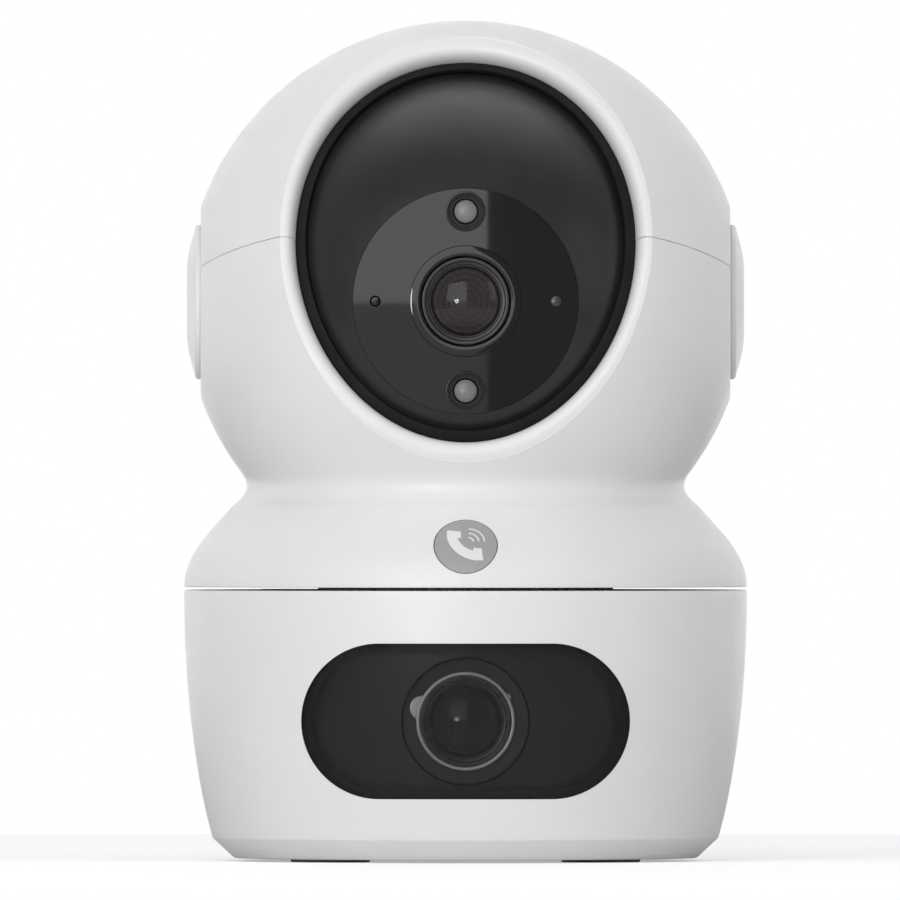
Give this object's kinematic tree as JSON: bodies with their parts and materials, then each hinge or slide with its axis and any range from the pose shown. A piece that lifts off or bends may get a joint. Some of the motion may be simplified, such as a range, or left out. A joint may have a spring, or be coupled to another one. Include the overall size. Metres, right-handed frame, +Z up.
{
  "type": "pan tilt home camera",
  "caption": "Indoor camera: a head turns on a round base and a black ball with lens and spotlights tilts in it; a fixed lens looks through a window in the base.",
  "frame": {"origin": "centre of the underside of the feet, on the pan axis", "axes": "+Z up along the pan axis, -Y towards the front of the camera, +X to its right in the front view"},
  "size_m": [0.094, 0.094, 0.1403],
  "materials": {
    "white_shell": "satin moulded",
    "black_gloss": "polished",
    "black_matte": "matte",
    "smoked_window": "smoked, polished",
    "lens_glass": "coated",
    "grey_plastic": "satin",
    "silver_ring": "satin",
    "rubber": "matte",
    "gasket": "matte",
    "brass": "machined",
    "steel": "plated",
    "circuit_board": "solder resist",
    "acetal": "moulded",
    "cone_paper": "matte",
    "led_phosphor": "matte",
    "status_window": "polished"
  },
  "bodies": {
    "base": {"base_shell": "white_shell", "base_cover": "white_shell", "rubber_feet": "rubber", "tripod_insert": "brass", "cover_screws": "steel", "front_window": "smoked_window", "window_gasket": "gasket", "lens_frame": "black_matte", "fixed_lens_bezel": "silver_ring", "fixed_lens_barrel": "black_matte", "fixed_lens_glass": "lens_glass", "fixed_lens_holder": "black_matte", "fixed_sensor_board": "circuit_board", "main_board": "circuit_board", "board_screws": "steel", "power_socket": "steel", "antenna": "brass", "speaker_frame": "black_matte", "speaker_cone": "cone_paper", "pan_motor": "steel", "deck_screws": "steel", "pan_spindle": "acetal", "thrust_washer": "acetal", "spindle_clip": "steel"},
    "pan_pinion": {"pan_pinion": "acetal"},
    "head": {"head_lower_shell": "white_shell", "head_upper_shell": "white_shell", "turntable": "white_shell", "pan_gear": "acetal", "turntable_screws": "steel", "side_cap_left": "white_shell", "side_cap_right": "white_shell", "tilt_bush_left": "acetal", "tilt_sun_gear": "acetal", "bush_screws": "steel", "call_switch_board": "circuit_board"},
    "call_button": {"call_button": "grey_plastic"},
    "ball": {"ball_front": "black_gloss", "ball_rear": "black_gloss", "ball_screws": "steel", "face_disc": "smoked_window", "lens_ring": "black_gloss", "lens_barrel": "black_matte", "lens_glass": "lens_glass", "lens_holder": "black_matte", "sensor_board": "circuit_board", "inner_screws": "steel", "light_board": "circuit_board", "light_cups": "grey_plastic", "spot_leds": "led_phosphor", "microphone": "steel", "status_led": "status_window", "tilt_motor": "steel", "card_board": "circuit_board", "card_socket": "steel"},
    "tilt_pinion": {"tilt_pinion": "acetal"},
    "reset_button": {"reset_button": "grey_plastic"}
  },
  "joints": [
    {"name": "pan", "type": "hinge", "parent": "base", "child": "head", "pos_m": [0, 0, 0.0462], "axis": [0, 0, 1], "range_deg": [-170, 170]},
    {"name": "tilt", "type": "hinge", "parent": "head", "child": "ball", "pos_m": [0, 0, 0.0933], "axis": [-1, 0, 0], "range_deg": [-10, 45]},
    {"name": "pan_pinion_spin", "type": "hinge", "parent": "base", "child": "pan_pinion", "pos_m": [-0.0288, 0, 0.0398], "axis": [0, 0, 1], "range_deg": [-900, 900]},
    {"name": "tilt_pinion_spin", "type": "hinge", "parent": "ball", "child": "tilt_pinion", "pos_m": [0.0343, 0.0144, 0.0933], "axis": [-1, 0, 0], "range_deg": [-30, 100]},
    {"name": "call_press", "type": "slide", "parent": "head", "child": "call_button", "axis": [0, 0.8121, -0.5836], "range_m": [0, 0.0006], "stiffness_N_per_m": 400},
    {"name": "reset_press", "type": "slide", "parent": "ball", "child": "reset_button", "axis": [0, 0.6428, 0.766], "range_m": [0, 0.0005], "stiffness_N_per_m": 400}
  ],
  "couplings": [
    {"joint": "pan_pinion_spin", "follows": "pan", "ratio": -5},
    {"joint": "tilt_pinion_spin", "follows": "tilt", "ratio": 2}
  ]
}
